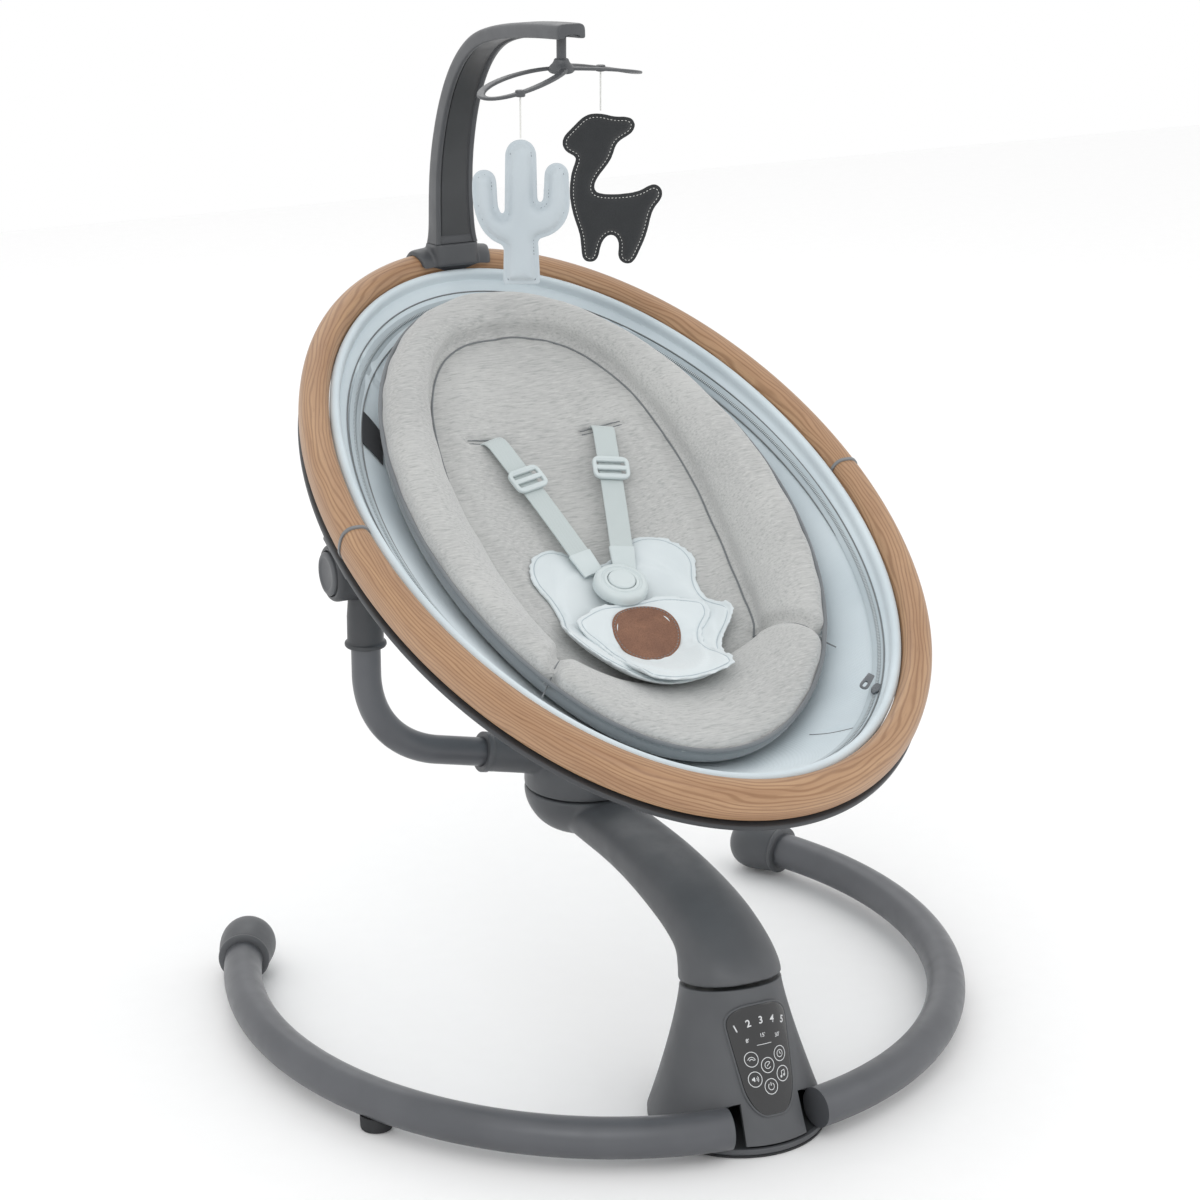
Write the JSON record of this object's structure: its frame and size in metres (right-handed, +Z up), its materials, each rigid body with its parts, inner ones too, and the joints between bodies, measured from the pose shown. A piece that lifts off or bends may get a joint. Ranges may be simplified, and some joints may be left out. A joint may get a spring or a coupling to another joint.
{
  "type": "baby swing",
  "caption": "Powered baby swing: oval wood-rimmed reclining seat with harness on a turntable yoke, swaying arm from a motor housing, C-shaped floor base and toy bar.",
  "frame": {"origin": "on the floor, under the middle of the bounding box", "axes": "+Z up, -Y towards the foot end of the seat and the control panel, +X to the right of someone facing the head end"},
  "size_m": [0.7158, 0.7584, 0.938],
  "materials": {
    "painted_tube": "satin",
    "graphite_plastic": "satin",
    "dark_plastic": "satin",
    "toy_bar_plastic": "satin",
    "rubber_foot": "matte",
    "touch_panel": "gloss",
    "circuit_board": "satin",
    "steel": "satin",
    "gear_plastic": "satin",
    "wood_rim": "satin",
    "liner_fabric": "matte",
    "heather_fabric": "matte",
    "webbing": "matte",
    "pale_plastic": "satin",
    "toy_fabric_pale": "matte",
    "toy_fabric_dark": "matte",
    "thread": "matte"
  },
  "bodies": {
    "base": {"base_leg_left": "painted_tube", "base_leg_right": "painted_tube", "leg_end_cap_left": "graphite_plastic", "leg_end_cap_right": "graphite_plastic", "leg_foot_left": "rubber_foot", "leg_foot_right": "rubber_foot", "motor_housing": "graphite_plastic", "housing_base_plate": "dark_plastic", "housing_foot_ring": "rubber_foot", "control_panel": "touch_panel", "control_board": "circuit_board", "speaker": "dark_plastic", "power_inlet": "dark_plastic", "drive_frame": "dark_plastic", "drive_motor": "steel", "shaft_bearing_upper": "steel", "shaft_bearing_lower": "steel"},
    "pinion": {"motor_pinion": "gear_plastic"},
    "arm": {"swing_arm": "graphite_plastic", "swing_shaft": "steel", "sector_gear": "gear_plastic", "turntable_bearing": "gear_plastic"},
    "turntable": {"turntable_hub": "graphite_plastic", "yoke_tube_left": "painted_tube", "yoke_tube_right": "painted_tube", "yoke_sleeve_left": "dark_plastic", "yoke_sleeve_right": "dark_plastic", "pivot_housing_left": "dark_plastic", "pivot_housing_right": "dark_plastic"},
    "knob_left": {"recline_button_left": "graphite_plastic"},
    "knob_right": {"recline_button_right": "graphite_plastic"},
    "clip_button_left": {"yoke_spring_button_left": "steel"},
    "clip_button_right": {"yoke_spring_button_right": "steel"},
    "seat": {"rim_head": "wood_rim", "rim_foot": "wood_rim", "rim_divider_left": "dark_plastic", "rim_divider_right": "dark_plastic", "rim_frame": "graphite_plastic", "pivot_bracket_left": "graphite_plastic", "pivot_bracket_right": "graphite_plastic", "seat_liner": "liner_fabric", "newborn_insert": "heather_fabric", "belly_pad": "liner_fabric", "shoulder_strap_left": "webbing", "shoulder_strap_right": "webbing", "strap_adjuster_left": "pale_plastic", "strap_adjuster_right": "pale_plastic", "harness_buckle": "pale_plastic", "toy_bar_clip": "toy_bar_plastic"},
    "buckle_press": {"buckle_button": "pale_plastic"},
    "zip_tab": {"zip_pull": "steel"},
    "toy_bar": {"toy_arch": "toy_bar_plastic"},
    "hanger": {"toy_hanger": "toy_bar_plastic"},
    "cactus": {"cactus_string": "thread", "cactus_toy": "toy_fabric_pale"},
    "animal": {"animal_string": "thread", "animal_toy": "toy_fabric_dark"}
  },
  "joints": [
    {"name": "swing", "type": "hinge", "parent": "base", "child": "arm", "pos_m": [0, -0.24858, 0.129], "axis": [0, 0.225, 0.9744], "range_deg": [-12, 12]},
    {"name": "pinion_spin", "type": "hinge", "parent": "base", "child": "pinion", "pos_m": [0.0366, -0.25893, 0.08418], "axis": [0, 0.225, 0.9744], "range_deg": [-90, 90]},
    {"name": "seat_turn", "type": "hinge", "parent": "arm", "child": "turntable", "pos_m": [0, 0.04942, 0.23], "axis": [0, 0, 1], "continuous": true},
    {"name": "recline", "type": "hinge", "parent": "turntable", "child": "seat", "pos_m": [0, 0.04912, 0.4603], "axis": [1, 0, 0], "range_deg": [-12, 0]},
    {"name": "knob_left_press", "type": "slide", "parent": "turntable", "child": "knob_left", "axis": [1, 0, 0], "range_m": [0, 0.004], "stiffness_N_per_m": 300},
    {"name": "knob_right_press", "type": "slide", "parent": "turntable", "child": "knob_right", "axis": [-1, 0, 0], "range_m": [0, 0.004], "stiffness_N_per_m": 300},
    {"name": "clip_button_left_press", "type": "slide", "parent": "turntable", "child": "clip_button_left", "axis": [0, 0, -1], "range_m": [0, 0.004], "stiffness_N_per_m": 200},
    {"name": "clip_button_right_press", "type": "slide", "parent": "turntable", "child": "clip_button_right", "axis": [0, 0, -1], "range_m": [0, 0.004], "stiffness_N_per_m": 200},
    {"name": "buckle_press_travel", "type": "slide", "parent": "seat", "child": "buckle_press", "axis": [0, 0.3987, -0.9171], "range_m": [0, 0.002], "stiffness_N_per_m": 400},
    {"name": "zip_tab_flip", "type": "hinge", "parent": "seat", "child": "zip_tab", "pos_m": [0.126, -0.26861, 0.40309], "axis": [-0.6428, 0.7025, 0.3055], "range_deg": [0, 120]},
    {"name": "toy_bar_lift", "type": "slide", "parent": "seat", "child": "toy_bar", "axis": [0, 0.0698, 0.9976], "range_m": [0, 0.025]},
    {"name": "hanger_spin", "type": "hinge", "parent": "toy_bar", "child": "hanger", "pos_m": [0, 0.09242, 0.899], "axis": [0, 0, 1], "continuous": true},
    {"name": "cactus_sway", "type": "hinge", "parent": "hanger", "child": "cactus", "pos_m": [-0.0665, 0.03864, 0.88211], "axis": [0.8988, -0.4384, 0], "range_deg": [-25, 25]},
    {"name": "animal_sway", "type": "hinge", "parent": "hanger", "child": "animal", "pos_m": [0.0665, 0.1462, 0.88211], "axis": [0.8988, -0.4384, 0], "range_deg": [-25, 25]}
  ],
  "couplings": [
    {"joint": "pinion_spin", "follows": "swing", "ratio": -7.143}
  ]
}
